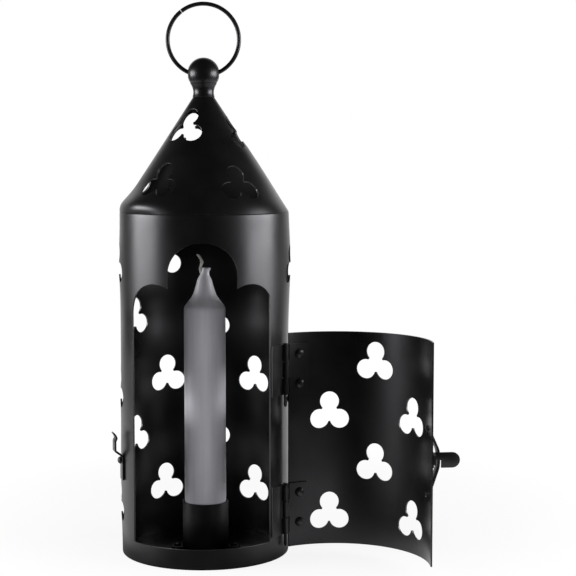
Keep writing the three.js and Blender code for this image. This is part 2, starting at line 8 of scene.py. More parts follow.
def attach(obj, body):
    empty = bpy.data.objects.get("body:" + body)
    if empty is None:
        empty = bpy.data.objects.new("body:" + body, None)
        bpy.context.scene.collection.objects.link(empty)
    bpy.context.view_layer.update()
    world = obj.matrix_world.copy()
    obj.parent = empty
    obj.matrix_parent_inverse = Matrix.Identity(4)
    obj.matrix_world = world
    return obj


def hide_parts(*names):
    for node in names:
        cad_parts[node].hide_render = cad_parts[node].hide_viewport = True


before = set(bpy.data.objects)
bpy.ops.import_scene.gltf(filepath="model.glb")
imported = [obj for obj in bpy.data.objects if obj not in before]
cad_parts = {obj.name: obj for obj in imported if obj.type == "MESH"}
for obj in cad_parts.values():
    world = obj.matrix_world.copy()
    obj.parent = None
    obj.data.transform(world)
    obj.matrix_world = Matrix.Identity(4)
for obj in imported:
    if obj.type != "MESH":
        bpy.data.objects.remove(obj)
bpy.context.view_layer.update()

# A candle lantern of pierced black sheet metal, with its door open and its ring up. Pieces are
# drawn in millimetres, and each is brought to metres when it is finished. Azimuths are in
# degrees from +X, seen from above, and the window faces -Y. Materials and the stage are in metres.

# Paint. The sheet is sprayed satin black: smooth from a step away, with a fine orange peel and
# slow waves where the sheet was rolled by hand. Cut edges are lightened: partly rubbed paint,
# partly a painted highlight where they catch the light.


def maths(tree, operation, first, second=None):
    """Works out one sum on sockets or numbers."""
    node = tree.nodes.new("ShaderNodeMath")
    node.operation = operation
    for socket, value in zip(node.inputs, (first, second)):
        if isinstance(value, (int, float)):
            socket.default_value = value
        elif value is not None:
            tree.links.new(value, socket)
    return node.outputs[0]


def spread(tree, value, low, high, to_low, to_high, smooth=False):
    """Spreads the values from low to high over those from to_low to to_high."""
    ramp = tree.nodes.new("ShaderNodeMapRange")
    if smooth:
        ramp.interpolation_type = "SMOOTHSTEP"
    for name, number in (
        ("From Min", low), ("From Max", high), ("To Min", to_low), ("To Max", to_high),
    ):
        ramp.inputs[name].default_value = number
    tree.links.new(value, ramp.inputs["Value"])
    return ramp.outputs["Result"]


def noise(tree, place, scale, detail):
    """Clouds of a given fineness over the piece."""
    cloud = tree.nodes.new("ShaderNodeTexNoise")
    cloud.inputs["Scale"].default_value = scale
    cloud.inputs["Detail"].default_value = detail
    tree.links.new(place, cloud.inputs["Vector"])
    return cloud.outputs["Fac"]


def raise_surface(tree, shader, height, distance):
    """Lets a height show as relief on the surface."""
    relief = tree.nodes.new("ShaderNodeBump")
    relief.inputs["Distance"].default_value = distance
    tree.links.new(height, relief.inputs["Height"])
    tree.links.new(relief.outputs["Normal"], shader.inputs["Normal"])


def new_finish(name):
    """A new material, with its node tree and its shader."""
    finish = bpy.data.materials.new(name)
    finish.use_nodes = True
    return finish, finish.node_tree, finish.node_tree.nodes["Principled BSDF"]


def worn_highlit_paint_group():
    """Mottled paint with smears, waves and orange peel, lightened along its edges: partly rubbed thin,
    partly a painted highlight.
    """
    edge_reach = 0.0004
    peel_height = 0.0000016
    group = bpy.data.node_groups.new("worn_highlit_paint", "ShaderNodeTree")
    for name, kind in (
        ("Paint", "NodeSocketColor"),
        ("Rubbed and highlit", "NodeSocketColor"),
        ("Gloss", "NodeSocketFloat"),
        ("Wear and highlight", "NodeSocketFloat"),
        ("Waves", "NodeSocketFloat"),
    ):
        group.interface.new_socket(name, in_out="INPUT", socket_type=kind)
    for name, kind in (
        ("Color", "NodeSocketColor"),
        ("Roughness", "NodeSocketFloat"),
        ("Height", "NodeSocketFloat"),
    ):
        group.interface.new_socket(name, in_out="OUTPUT", socket_type=kind)
    nodes = group.nodes
    link = group.links.new
    given = nodes.new("NodeGroupInput")
    made = nodes.new("NodeGroupOutput")
    place = nodes.new("ShaderNodeTexCoord").outputs["Object"]

    # Edges are where the rounded normal turns away from the face's own
    rounded = nodes.new("ShaderNodeBevel")
    rounded.samples = 4
    rounded.inputs["Radius"].default_value = edge_reach
    face = nodes.new("ShaderNodeNewGeometry")
    turned = nodes.new("ShaderNodeVectorMath")
    turned.operation = "DOT_PRODUCT"
    link(rounded.outputs["Normal"], turned.inputs[0])
    link(face.outputs["Normal"], turned.inputs[1])
    edge = spread(group, turned.outputs["Value"], 0.995, 0.85, 0.0, 1.0)
    patchy = spread(group, noise(group, place, 420, 3), 0.42, 0.62, 0.15, 1.0)
    # Edges take the rubbed colour: partly worn paint, partly a painted highlight
    rubbed_and_highlit = maths(group, "MULTIPLY", maths(group, "MULTIPLY", edge, patchy), given.outputs["Wear and highlight"])

    tone = spread(group, noise(group, place, 90, 4), 0.3, 0.7, 0.75, 1.3)
    mottle = nodes.new("ShaderNodeCombineColor")
    for channel in ("Red", "Green", "Blue"):
        link(tone, mottle.inputs[channel])
    tint = nodes.new("ShaderNodeMix")
    tint.data_type = "RGBA"
    tint.blend_type = "MULTIPLY"
    tint.inputs["Factor"].default_value = 1.0
    link(given.outputs["Paint"], tint.inputs["A"])
    link(mottle.outputs["Color"], tint.inputs["B"])
    colour = nodes.new("ShaderNodeMix")
    colour.data_type = "RGBA"
    link(rubbed_and_highlit, colour.inputs["Factor"])
    link(tint.outputs["Result"], colour.inputs["A"])
    link(given.outputs["Rubbed and highlit"], colour.inputs["B"])
    link(colour.outputs["Result"], made.inputs["Color"])

    smears = spread(group, noise(group, place, 38, 5), 0.3, 0.7, -0.05, 0.06)
    dulled = maths(group, "ADD", given.outputs["Gloss"], smears)
    polished = maths(group, "MULTIPLY", rubbed_and_highlit, -0.08)
    link(maths(group, "ADD", dulled, polished), made.inputs["Roughness"])

    waves = maths(group, "MULTIPLY", noise(group, place, 24, 1), given.outputs["Waves"])
    peel = maths(group, "MULTIPLY", noise(group, place, 1500, 2), peel_height)
    link(maths(group, "ADD", waves, peel), made.inputs["Height"])
    return group


worn_highlit_paint = worn_highlit_paint_group()


def painted(name, paint, rubbed_and_highlit, gloss, wear_and_highlight, waves):
    """A black paint: colour, edge colour (worn paint with a painted highlight), roughness, edge
    strength and waves.
    """
    finish, tree, shader = new_finish(name)
    shader.inputs["Specular Tint"].default_value = (0.95, 0.94, 1, 1)
    coat = tree.nodes.new("ShaderNodeGroup")
    coat.node_tree = worn_highlit_paint
    coat.inputs["Paint"].default_value = (*paint, 1)
    coat.inputs["Rubbed and highlit"].default_value = (*rubbed_and_highlit, 1)
    coat.inputs["Gloss"].default_value = gloss
    coat.inputs["Wear and highlight"].default_value = wear_and_highlight
    coat.inputs["Waves"].default_value = waves
    tree.links.new(coat.outputs["Color"], shader.inputs["Base Color"])
    tree.links.new(coat.outputs["Roughness"], shader.inputs["Roughness"])
    raise_surface(tree, shader, coat.outputs["Height"], 1.0)
    return finish


# Each paint's second colour lightens its edges: partly worn paint, partly a painted highlight
satin_black = painted("satin_black", (0.007, 0.007, 0.0075), (0.12, 0.12, 0.125), 0.32, 0.3, 0.00006)
# The cut walls are painted lighter than the faces: partly worn paint, partly a painted highlight
worn_and_highlit_rim = painted("worn_and_highlit_rim", (0.014, 0.014, 0.015), (0.16, 0.16, 0.165), 0.32, 0.6, 0.0)

# Body tube. One sheet of 0.9 mm steel is pierced and windowed flat, then rolled and welded
# where no hole comes. The shoulder and the foot are turned in a little by the hammer.

sheet = 0.9
tube_radius = 45
tube_height = 184
tube_facets = 180
front_azimuth = -90.7
tube_seam = front_azimuth + 180 + 17.25
tube_length = 2 * math.pi * tube_radius
edge_round = 1.1
edge_flatness = 0.35

# Three-lobed punch, the same for tube, roof and door
lobe_radius = 5.2
lobe_reach = 6.3
lobe_half_sweep = math.radians(134)

# Trefoils marked out by hand in staggered columns: azimuth and height
tube_trefoils = (
    (-174.5, 26.3), (-174.5, 87.9), (-174.5, 155.1), (151.8, 58.5), (152.3, 124), (123.3, 28.4),
    (121.5, 90), (123.8, 156), (88.1, 58), (88.1, 120.8), (53.7, 27.7), (53.8, 89.7), (54.3, 151.6),
    (20.3, 59.2), (20.3, 120.8), (0.5, 28.4), (0.5, 90), (-3.5, 154.5),
)
side_trefoils = tube_trefoils[:3] + tube_trefoils[-3:]

# Hammered swellings: how proud, azimuth and height, and how far they reach round and up. The
# sheet also stands a little proud round each hole at the tube's sides.
hole_swelling = 0.45
hole_swelling_reach = (11, 10)
tube_swellings = (
    (0.9, 0, 163, 16, 18), (0.4, 0, 140, 16, 14), (0.5, -176, 50, 16, 30), (0.35, -176, 158, 16, 14),
)

# Window. A tall middle arch stands between two low ones, sawn by hand so that they differ
window_half_angle = 53.2
window_sill = 10.7
window_crown = tube_height - 14.5
middle_rise = 16.5
cusp_drop = 23.5
right_arch = {"inset": 13.5, "radius": 16.1, "drop": 37.5}
left_arch = {"inset": 16.7, "radius": 16.8, "drop": 38.2}


def corners_of(parts):
    """The corners among the parts that an operator gives back."""
    return [part for part in parts if isinstance(part, bmesh.types.BMVert)]


def pierce(bm, x, y, turn=0.0):
    """Draws a three-lobed hole on the flat sheet."""
    place = Matrix.Translation((x, y, 0)) @ Matrix.Rotation(turn, 4, "Z")
    ends = []
    for lobe in (90, 210, 330):
        out = math.radians(lobe)
        centre = Vector((lobe_reach * math.cos(out), lobe_reach * math.sin(out), 0))
        reach = Vector((math.cos(out - lobe_half_sweep), math.sin(out - lobe_half_sweep), 0))
        start = bm.verts.new(place @ (centre + lobe_radius * reach))
        arc = bmesh.ops.spin(
            bm, geom=[start], cent=place @ centre, axis=(0, 0, 1), angle=2 * lobe_half_sweep, steps=18
        )
        ends.append((start, corners_of(arc["geom_last"])[0]))
    for i in range(3):
        bm.edges.new((ends[i - 1][1], ends[i][0]))


def outline(bm, points):
    """Draws a closed line through the points on the flat sheet."""
    corners = [bm.verts.new((x, y, 0)) for x, y in points]
    for i, corner in enumerate(corners):
        bm.edges.new((corners[i - 1], corner))


def low_arch(jamb, inset, radius, drop):
    """One low arch from the jamb up and over to its cusp."""
    start = math.acos(inset / radius)
    stop = math.pi - math.asin((drop - cusp_drop) / radius)
    points = []
    for i in range(17):
        turn = start + (stop - start) * i / 16
        along = jamb - inset + radius * math.cos(turn)
        points.append((along, window_crown - drop + radius * math.sin(turn)))
    return points


def window_points():
    """The sawn window, as distances along the flat sheet from its middle."""
    jamb = tube_radius * math.radians(window_half_angle)
    right = low_arch(jamb, **right_arch)
    left = [(-along, up) for along, up in low_arch(jamb, **left_arch)]
    middle = (right[-1][0] + left[-1][0]) / 2
    reach = right[-1][0] - middle
    top = []
    for i in range(37):
        turn = math.pi * i / 36
        along = middle + reach * math.cos(turn)
        top.append((along, window_crown - middle_rise + middle_rise * math.sin(turn)))
    return [(jamb, window_sill)] + right + top + left[::-1] + [(-jamb, window_sill)]


def fill_sheet(bm, bends):
    """Fills the drawn lines and scores the whole sheet at each bend."""
    bmesh.ops.triangle_fill(bm, use_beauty=True, edges=bm.edges[:], normal=(0, 0, 1))
    for face in bm.faces:
        if face.normal.z < 0:
            face.normal_flip()
    for point, across in bends:
        whole = bm.verts[:] + bm.edges[:] + bm.faces[:]
        bmesh.ops.bisect_plane(bm, geom=whole, dist=1e-5, plane_co=point, plane_no=across)


def thicken(bm):
    """Gives the scored sheet its thickness inwards, and its cut walls their own finish."""
    walls = bmesh.ops.extrude_face_region(bm, geom=bm.faces[:], use_keep_orig=True)
    bmesh.ops.translate(bm, verts=corners_of(walls["geom"]), vec=(0, 0, -sheet))
    bmesh.ops.recalc_face_normals(bm, faces=bm.faces[:])
    for face in bm.faces:
        face.material_index = 0 if abs(face.normal.z) > 0.5 else 1


def finish_piece(name, bm, finishes, body, nodes, sharp_angle=34):
    """Brings the drawn piece to metres and fixes it to its body in place of the CAD's nodes."""
    bmesh.ops.scale(bm, vec=(0.001, 0.001, 0.001), verts=bm.verts[:])
    for face in bm.faces:
        face.smooth = True
    for edge in bm.edges:
        closed = len(edge.link_faces) == 2
        edge.smooth = not closed or edge.calc_face_angle() < math.radians(sharp_angle)
    mesh = bpy.data.meshes.new(name)
    bm.to_mesh(mesh)
    bm.free()
    for finish in finishes:
        mesh.materials.append(finish)
    piece = bpy.data.objects.new(name, mesh)
    bpy.context.scene.collection.objects.link(piece)
    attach(piece, body)
    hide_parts(*nodes)


def swell(azimuth, height, at_azimuth, at_height, width, tall):
    """How much of a hammered swelling there is at a place, from 0 to 1."""
    across = ((azimuth - at_azimuth + 180) % 360 - 180) / width
    along = (height - at_height) / tall
    return math.exp(-across * across - along * along)


def worked_by_hand(azimuth, height):
    """How far the sheet stands out of a true tube."""
    punched = sum(swell(azimuth, height, *hole, *hole_swelling_reach) for hole in side_trefoils)
    hammered = sum(proud * swell(azimuth, height, *place) for proud, *place in tube_swellings)
    return hole_swelling * min(punched, 1.0) + hammered


def along_tube(azimuth):
    """Where an azimuth lies on the tube's flat sheet."""
    return tube_radius * math.radians((azimuth - tube_seam) % 360)


bm = bmesh.new()
outline(bm, [(0, 0), (tube_length, 0), (tube_length, tube_height), (0, tube_height)])
middle = along_tube(front_azimuth)
outline(bm, [(middle + x, y) for x, y in window_points()])
for azimuth, height in tube_trefoils:
    pierce(bm, along_tube(azimuth), height)
bends = [((tube_length * i / tube_facets, 0, 0), (1, 0, 0)) for i in range(1, tube_facets)]
for near in (0.25, 0.6, edge_round):
    bends += [((0, near, 0), (0, 1, 0)), ((0, tube_height - near, 0), (0, 1, 0))]
bends += [((0, height, 0), (0, 1, 0)) for height in range(4, tube_height - 2, 4)]
fill_sheet(bm, bends)
thicken(bm)
seams = []
for face in bm.faces:
    x = face.calc_center_median().x
    if face.material_index and abs(face.normal.x) > 0.9 and not 0.01 < x < tube_length - 0.01:
        seams.append(face)
bmesh.ops.delete(bm, geom=seams, context="FACES")
for vert in bm.verts:
    x, height, depth = vert.co
    short = edge_round - min(height, tube_height - height, edge_round)
    turned_in = edge_round - math.sqrt(max(0.0, edge_round ** 2 - short ** 2))
    turn = math.radians(tube_seam) + x / tube_radius
    out = tube_radius + depth - edge_flatness * turned_in
    out += worked_by_hand(math.degrees(turn), height)
    vert.co = (out * math.cos(turn), out * math.sin(turn), height)
bmesh.ops.remove_doubles(bm, verts=bm.verts[:], dist=1e-3)
finish_piece("tube_sheet", bm, [satin_black, worn_and_highlit_rim], "lantern body", ["body_tube"])

# Roof. A pierced fan of the same sheet is rolled to a cone and its tip left open for the
# knob. Its holes are punched flat, so each leans with the slope.

roof_rise = 60.5
roof_tip_radius = 5.6
roof_lean = math.atan2(tube_radius - roof_tip_radius, roof_rise)
roof_apex = tube_height + tube_radius / math.tan(roof_lean)
roof_fan = 2 * math.pi * math.sin(roof_lean)
roof_seam = 50
roof_facets = 180
roof_levels = (1, 2, 3, 4.2, 5.5, 7, 9, 11.5, 15, 20, 28, 40)
rim_slant = tube_radius / math.sin(roof_lean)
tip_slant = roof_tip_radius / math.sin(roof_lean)

# Trefoils: five near the rim and three above, by azimuth and rise from the rim
roof_trefoils = (
    (-128.3, 16.4), (-56.4, 14.9), (20, 15.6), (96, 15.6), (166, 15.6),
    (-124.6, 44.8), (-9, 41), (125, 43),
)

# The hammered shoulder is fuller than a true cone: how full, its azimuth, and how far it
# reaches round and up. One more swelling stands higher up, at the right.
shoulder_swellings = ((0.9, -178, 24, 6), (1.45, -133, 26, 8), (0.6, -50, 22, 8))
upper_swelling = (0.6, 0, 26, 30, 18)


def around_fan(azimuth):
    """Where an azimuth lies round the roof's flat fan."""
    return math.radians((azimuth - roof_seam) % 360) * math.sin(roof_lean)


def score(bm, faces, point, across):
    """Scores some of the sheet's faces along a straight line, so that it bends there."""
    edges = {edge for face in faces for edge in face.edges}
    corners = {vert for edge in edges for vert in edge.verts}
    geom = list(corners) + list(edges) + list(faces)
    bmesh.ops.bisect_plane(bm, geom=geom, dist=1e-5, plane_co=point, plane_no=across)


def roof_worked_by_hand(azimuth, rise):
    """How far the sheet stands out of a true cone."""
    slope = math.tan(roof_lean) * rise
    proud, *place = upper_swelling
    out = proud * swell(azimuth, rise, *place)
    for full, at_azimuth, width, reach in shoulder_swellings:
        out += full * slope * swell(azimuth, rise, at_azimuth, 0, width, reach)
    return out


bm = bmesh.new()
corners = [bm.verts.new((tip_slant, 0, 0)), bm.verts.new((rim_slant, 0, 0))]
ends = []
for corner in corners:
    arc = bmesh.ops.spin(
        bm, geom=[corner], cent=(0, 0, 0), axis=(0, 0, 1), angle=roof_fan, steps=roof_facets
    )
    ends += corners_of(arc["geom_last"])
bm.edges.new(corners)
bm.edges.new(ends)
for azimuth, rise in roof_trefoils:
    turn = around_fan(azimuth)
    slant = rim_slant - rise / math.cos(roof_lean)
    pierce(bm, slant * math.cos(turn), slant * math.sin(turn), turn + math.pi / 2)
bends = []
for i in range(1, roof_facets):
    turn = roof_fan * i / roof_facets
    bends.append(((0, 0, 0), (-math.sin(turn), math.cos(turn), 0)))
fill_sheet(bm, bends)
for level in roof_levels:
    slant = (rim_slant - level / math.cos(roof_lean)) * math.cos(roof_fan / roof_facets / 2)
    sectors = [[] for i in range(roof_facets)]
    for face in bm.faces:
        middle = face.calc_center_median()
        turn = math.atan2(middle.y, middle.x) % (2 * math.pi)
        sectors[int(turn / roof_fan * roof_facets)].append(face)
    for i, faces in enumerate(sectors):
        turn = roof_fan * (i + 0.5) / roof_facets
        out = Vector((math.cos(turn), math.sin(turn), 0))
        score(bm, faces, slant * out, out)
thicken(bm)
seams = []
for face in bm.faces:
    middle = face.calc_center_median()
    turn = math.atan2(middle.y, middle.x) % (2 * math.pi)
    if face.material_index and min(turn, abs(turn - roof_fan), 2 * math.pi - turn) < 1e-4:
        seams.append(face)
bmesh.ops.delete(bm, geom=seams, context="FACES")
for vert in bm.verts:
    slant = math.hypot(vert.co.x, vert.co.y)
    depth = -vert.co.z
    turn = math.atan2(vert.co.y, vert.co.x) % (2 * math.pi)
    if turn > 2 * math.pi - 1e-3:
        turn = 0.0
    turn = math.radians(roof_seam) + turn / math.sin(roof_lean)
    out = slant * math.sin(roof_lean) - depth * math.cos(roof_lean)
    out += roof_worked_by_hand(math.degrees(turn), (rim_slant - slant) * math.cos(roof_lean))
    height = roof_apex - slant * math.cos(roof_lean) - depth * math.sin(roof_lean)
    if height < tube_height:
        out += (height - tube_height) * math.tan(roof_lean)
        height = tube_height
    vert.co = (out * math.cos(turn), out * math.sin(turn), height)
bmesh.ops.remove_doubles(bm, verts=bm.verts[:], dist=1e-3)
# The roof's cut walls are painted much lighter: mostly a painted highlight where the holes' edges catch
# the light, with some worn paint
worn_and_highlit_roof_rim = painted("worn_and_highlit_roof_rim", (0.08, 0.08, 0.083), (0.3, 0.3, 0.31), 0.3, 0.8, 0.0)
finish_piece("roof_sheet", bm, [satin_black, worn_and_highlit_roof_rim], "lantern body", ["roof_cone"])

# Floor. A flat disc of the same steel sheet, cut a little smaller than the tube's bore. It is
# pressed into the tube's foot and painted with it.

rest_gap = 0.3
floor_lift = 0.05


def soften(bm, edges, offset, segments=2):
    """Rounds off the given edges."""
    bmesh.ops.bevel(
        bm, geom=edges, offset=offset, offset_type="OFFSET", segments=segments, profile=0.5,
        affect="EDGES", material=-1,
    )


bm = bmesh.new()
bmesh.ops.create_circle(bm, cap_ends=True, segments=120, radius=tube_radius - sheet - rest_gap)
raised = bmesh.ops.extrude_face_region(bm, geom=bm.faces[:], use_keep_orig=True)
bmesh.ops.translate(bm, verts=corners_of(raised["geom"]), vec=(0, 0, sheet - floor_lift))
bmesh.ops.translate(bm, verts=bm.verts[:], vec=(0, 0, floor_lift))
bmesh.ops.recalc_face_normals(bm, faces=bm.faces[:])
soften(bm, [edge for edge in bm.edges if edge.calc_face_angle() > 1], 0.12)
finish_piece("floor_plate", bm, [satin_black], "lantern body", ["floor_disc"])

# Candle cup. A drawn steel cup with a rolled lip, painted darker and duller than the sheet; two
# lugs at its foot are riveted through the floor.

cup_radius = 12.4
cup_bore = 11.5
lug_size = (6.6, 9, 0.98)
lug_middle = 15.2
lug_corner = 3.2
lug_rivet_reach = 15.3


def turn_round(bm, profile, steps, centre=(0, 0, 0)):
    """Spins a line of (radius, height) points into a turned piece, and returns its corners."""
    points = [bm.verts.new((centre[0] + radius, centre[1], height)) for radius, height in profile]
    lines = [bm.edges.new(pair) for pair in zip(points, points[1:])]
    before = set(bm.verts) - set(points)
    bmesh.ops.spin(
        bm, geom=points + lines, cent=centre, axis=(0, 0, 1), angle=2 * math.pi, steps=steps,
        use_merge=True,
    )
    made = [vert for vert in bm.verts if vert not in before]
    bmesh.ops.remove_doubles(bm, verts=made, dist=1e-4)
    return [vert for vert in bm.verts if vert not in before]


bm = bmesh.new()
turn_round(bm, [
    (0, 0.9), (11.6, 0.9), (12.1, 1.1), (cup_radius, 1.7), (cup_radius, 26.4), (12.3, 26.75),
    (12.05, 26.9), (11.8, 26.85), (11.55, 26.6), (cup_bore, 26.2), (cup_bore, 1.9), (0, 1.9),
], 72)
bmesh.ops.recalc_face_normals(bm, faces=bm.faces[:])
for side in (-1, 1):
    lug = bmesh.ops.create_cube(bm, size=1)["verts"]
    bmesh.ops.scale(bm, vec=lug_size, verts=lug)
    bmesh.ops.translate(bm, vec=(side * lug_middle, 0, sheet + 0.5), verts=lug)
    corners = [
        edge for edge in {edge for vert in lug for edge in vert.link_edges}
        if all(side * vert.co.x > lug_middle for vert in edge.verts)
        and edge.verts[0].co.y == edge.verts[1].co.y
    ]
    soften(bm, corners, lug_corner, segments=8)
darker_duller_black = painted("darker_duller_black", (0.005, 0.005, 0.0055), (0.04, 0.04, 0.042), 0.55, 0.2, 0.00003)
finish_piece("cup_shell", bm, [darker_duller_black], "lantern body", ["candle_cup"])

# Rivets. Soft steel rivets, hammered over and painted with the sheet; the edges of their domes
# are lightened, partly rubbed paint and partly a painted highlight.

shank_radius = 1
foot_radius = 1.6
foot_bevel = 0.5
small_dome = (1.85, 0.95)
black_fittings = painted(
    "black_fittings", (0.007, 0.007, 0.0075), (0.14, 0.14, 0.145), 0.34, 0.4, 0.00003
)


def rivet(name, place, grip, dome, body, node, foot=0.6):
    """A dome on a shank through the grip, its foot hammered flat; place stands it on the sheet."""
    low, high = grip
    radius, rise = dome
    profile = [(0, low - foot)]
    if foot:
        profile += [(foot_radius - foot_bevel, low - foot), (foot_radius, low)]
    profile += [(shank_radius, low), (shank_radius, high), (radius, high)]
    for i in range(1, 7):
        turn = math.pi / 2 * i / 7
        profile.append((radius * math.cos(turn), high + rise * math.sin(turn)))
    profile.append((0, high + rise))
    bm = bmesh.new()
    turn_round(bm, profile, 28)
    bmesh.ops.recalc_face_normals(bm, faces=bm.faces[:])
    bmesh.ops.transform(bm, matrix=place, verts=bm.verts[:])
    finish_piece(name, bm, [black_fittings], body, [node])


for side, name in ((-1, "left"), (1, "right")):
    place = Matrix.Translation((side * lug_rivet_reach, 0, 0))
    rivet(
        f"cup_stud_{name}", place, (0, 2.2), small_dome, "lantern body", f"cup_rivet_{name}", foot=0
    )

# Candle. A dipped household candle of pale grey-white wax, drawn in under the tip, which ends
# in a small bead; faint upright streaks show, and light goes a little way in.

candle_radius = 11.2
lean_from = 149
tip_height = 153.7
tip_lean = 0.9
bead_height = 152.9
bead_radius = 2.2
bead_half_height = 0.7
bead_bulge = 0.7


def candle_wax_finish():
    """Wax with upright streaks and soft clouds."""
    finish, tree, shader = new_finish("candle_wax")
    shader.inputs["Subsurface Weight"].default_value = 0.25
    shader.inputs["Subsurface Radius"].default_value = (1.0, 0.9, 0.8)
    shader.inputs["Subsurface Scale"].default_value = 0.004
    place = tree.nodes.new("ShaderNodeTexCoord").outputs["Object"]
    stretch = tree.nodes.new("ShaderNodeMapping")
    stretch.inputs["Scale"].default_value = (1, 1, 0.06)
    tree.links.new(place, stretch.inputs["Vector"])
    clouds = noise(tree, place, 30, 4)
    both = tree.nodes.new("ShaderNodeMix")
    both.inputs["Factor"].default_value = 0.4
    tree.links.new(noise(tree, stretch.outputs["Vector"], 260, 3), both.inputs["A"])
    tree.links.new(clouds, both.inputs["B"])
    tint = tree.nodes.new("ShaderNodeValToRGB")
    tint.color_ramp.elements[0].position = 0.32
    tint.color_ramp.elements[0].color = (0.66, 0.65, 0.71, 1)
    tint.color_ramp.elements[1].position = 0.68
    tint.color_ramp.elements[1].color = (0.83, 0.82, 0.88, 1)
    tree.links.new(both.outputs["Result"], tint.inputs["Fac"])
    tree.links.new(tint.outputs["Color"], shader.inputs["Base Color"])
    tree.links.new(spread(tree, clouds, 0, 1, 0.3, 0.48), shader.inputs["Roughness"])
    raise_surface(tree, shader, both.outputs["Result"], 0.00012)
    return finish


bm = bmesh.new()
turn_round(bm, [
    (0, 2.25), (10.4, 2.25), (11.0, 2.5), (candle_radius, 3.1), (candle_radius, 60),
    (candle_radius, 130.6), (11.15, 131.6), (10.95, 132.5), (10.3, 133.6), (9.5, 134.7), (8.6, 135.8),
    (7.7, 136.9), (6.9, 138), (6.2, 139.3), (5.6, 141), (5.1, 142.7), (4.6, 144.3), (4.2, 146),
    (3.7, 147.4), (3.1, 148.6), (2.5, 149.7), (2.15, 150.8), (2.05, 151.8), (2.1, 152.5),
    (bead_radius, 153.1), (1.9, 153.6), (1.2, 153.68), (0.5, 153.5), (0.5, 150), (0, 150),
], 72)
bmesh.ops.recalc_face_normals(bm, faces=bm.faces[:])
for vert in bm.verts:
    above = min(max(vert.co.z - lean_from, 0) / (tip_height - lean_from), 1)
    bead = math.exp(-((vert.co.z - bead_height) / bead_half_height) ** 2)
    bead *= max(vert.co.x, 0) / bead_radius
    vert.co.x += tip_lean * above + bead_bulge * above * bead
finish_piece("wax_candle", bm, [candle_wax_finish()], "candle", ["candle_wax"], 50)

# Wick. Braided cotton, unburnt and stiff with wax; it leaves the wax at the tip's left and
# bends back before it leans over.

wick_radius = 0.88
braid_groove = 0.72
braid_twist = math.radians(24)
wick_foot = 146.3

# The wick's course from its foot up: how far right, and how high
wick_course = (
    (-0.3, 148), (-1.1, 149.6), (-1.8, 151.2), (-2.1, 152.6), (-2.1, 153.9), (-1.8, 155.2),
    (-1.4, 156.4), (-1.5, 157.6), (-2.1, 158.7), (-2.9, 159.8), (-3.65, 160.8),
)


def cotton_finish():
    """Matt cotton threads, lighter on their crowns and darker between: painted light and shade."""
    finish, tree, shader = new_finish("wick_cotton")
    place = tree.nodes.new("ShaderNodeTexCoord").outputs["Object"]
    threads = noise(tree, place, 1600, 2)
    # The colour follows the threads' relief: a painted highlight on each crown, painted shade between
    tint = tree.nodes.new("ShaderNodeValToRGB")
    tint.color_ramp.elements[0].color = (0.36, 0.35, 0.33, 1)
    tint.color_ramp.elements[1].color = (0.72, 0.71, 0.68, 1)
    tree.links.new(threads, tint.inputs["Fac"])
    tree.links.new(tint.outputs["Color"], shader.inputs["Base Color"])
    tree.links.new(spread(tree, threads, 0, 1, 0.6, 0.95), shader.inputs["Roughness"])
    raise_surface(tree, shader, threads, 0.0001)
    return finish


bm = bmesh.new()
strand = bmesh.ops.create_circle(bm, cap_ends=False, segments=12, radius=wick_radius)["verts"]
for i, vert in enumerate(strand):
    if i % 4 > 1:
        vert.co *= braid_groove
at = Vector((0, 0, wick_foot))
bmesh.ops.translate(bm, verts=strand, vec=at)
rim = bm.edges[:]
for x, height in wick_course:
    new = Vector((x, 0, height))
    grown = bmesh.ops.extrude_edge_only(bm, edges=rim)["geom"]
    ring = corners_of(grown)
    rim = [
        part for part in grown
        if isinstance(part, bmesh.types.BMEdge) and all(vert in ring for vert in part.verts)
    ]
    bmesh.ops.translate(bm, verts=ring, vec=new - at)
    bmesh.ops.rotate(bm, verts=ring, cent=new, matrix=Matrix.Rotation(braid_twist, 3, "Z"))
    at = new
bmesh.ops.holes_fill(bm, edges=[edge for edge in bm.edges if edge.is_boundary], sides=0)
bmesh.ops.recalc_face_normals(bm, faces=bm.faces[:])
finish_piece("cotton_wick", bm, [cotton_finish()], "candle", ["candle_wick"], 60)

# Knob. A turned steel ball on a neck, drilled across for the ring; its spigot is riveted over
# inside the roof's tip.

ball_height = 256.82
ball_radius = 8.5
bore_radius = 2.5


def face_out(bm, corners):
    """Turns the faces at some of the corners outwards."""
    faces = {face for vert in corners for face in vert.link_faces}
    bmesh.ops.recalc_face_normals(bm, faces=list(faces))


bm = bmesh.new()
bore_turn = math.asin(bore_radius / ball_radius)
start = bm.verts.new((ball_radius * math.cos(bore_turn), 0, ball_radius * math.sin(bore_turn)))
arc = bmesh.ops.spin(
    bm, geom=[start], cent=(0, 0, 0), axis=(0, -1, 0), angle=math.pi - 2 * bore_turn, steps=40
)
bm.edges.new((start, corners_of(arc["geom_last"])[0]))
bmesh.ops.spin(
    bm, geom=bm.verts[:] + bm.edges[:], cent=(0, 0, 0), axis=(1, 0, 0), angle=2 * math.pi, steps=80,
    use_merge=True,
)
bmesh.ops.remove_doubles(bm, verts=bm.verts[:], dist=1e-4)
bmesh.ops.recalc_face_normals(bm, faces=bm.faces[:])
bmesh.ops.translate(bm, verts=bm.verts[:], vec=(0, 0, ball_height))
face_out(bm, turn_round(bm, [
    (0, 240.3), (3.4, 240.3), (4.9, 241), (4.9, 241.6), (4.2, 241.6), (4.2, 244.5), (5.9, 244.5),
    (5.8, 244.9), (5.6, 245.6), (5.46, 246.5), (5.5, 247.6), (5.65, 248.6), (5.95, 249.5),
    (6.4, 250.5), (6.9, 251.4), (7.1, 251.9), (0, 252.2),
], 64))
finish_piece("knob", bm, [satin_black], "lantern body", ["finial_knob"], 40)

# Carry ring. One piece of 2.2 mm steel wire bent round, its ends cut and nearly meeting at the
# upper left.

